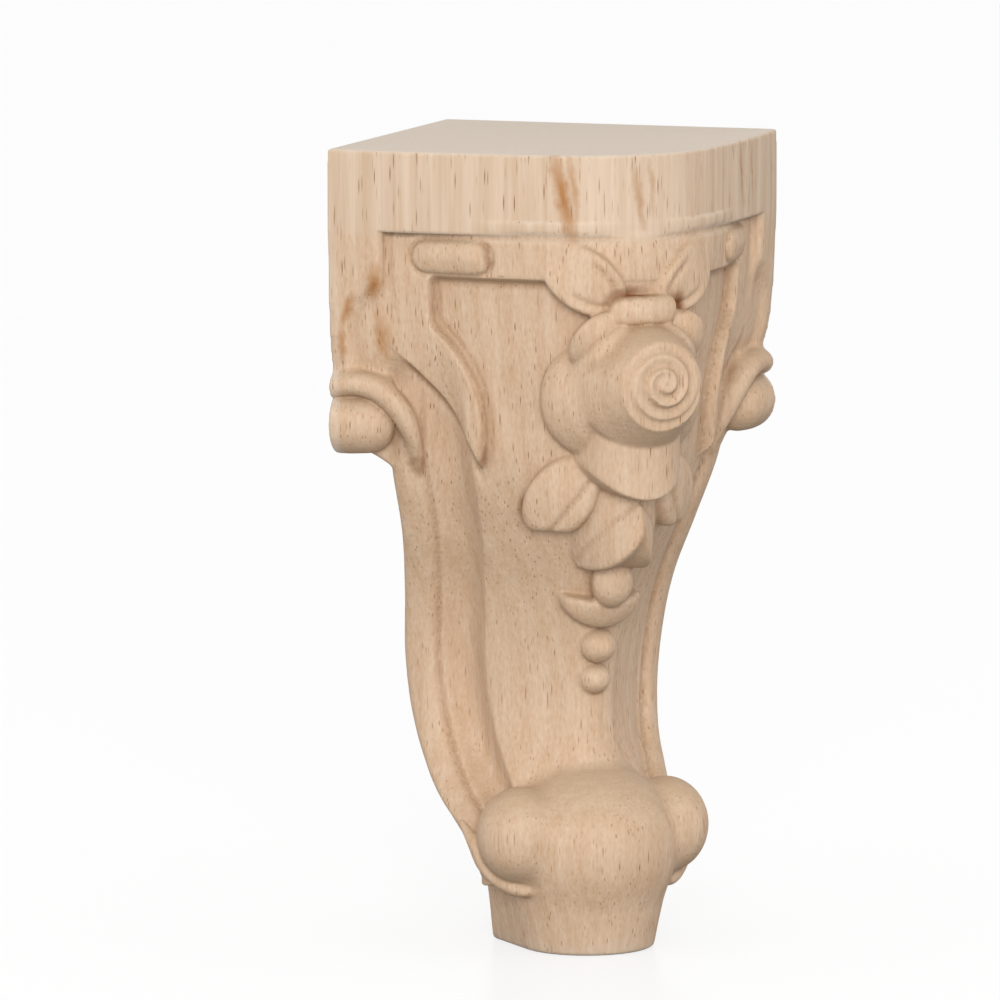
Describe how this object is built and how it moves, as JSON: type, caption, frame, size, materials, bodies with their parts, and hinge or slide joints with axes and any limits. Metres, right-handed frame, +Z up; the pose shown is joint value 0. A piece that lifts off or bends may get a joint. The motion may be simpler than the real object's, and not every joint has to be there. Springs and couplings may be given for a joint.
{
  "type": "furniture leg",
  "caption": "Short carved wooden corner leg with a rounded front corner, scrolled ears, a rose with leaves and drop, and a scroll foot; carries a cabinet or sofa corner.",
  "frame": {"origin": "on the axis of the square blank, level with the floor under the foot", "axes": "+Z up; the carved rounded corner faces -Y and the square rear corner faces +Y; X runs across the leg from ear to ear"},
  "size_m": [0.0622, 0.0622, 0.1],
  "materials": {
    "rubberwood": "raw, sanded, unpolished pale beige rubberwood with fine dark pores and a few brown mineral streaks"
  },
  "bodies": {
    "root": {"carved_leg": "rubberwood"}
  },
  "joints": []
}
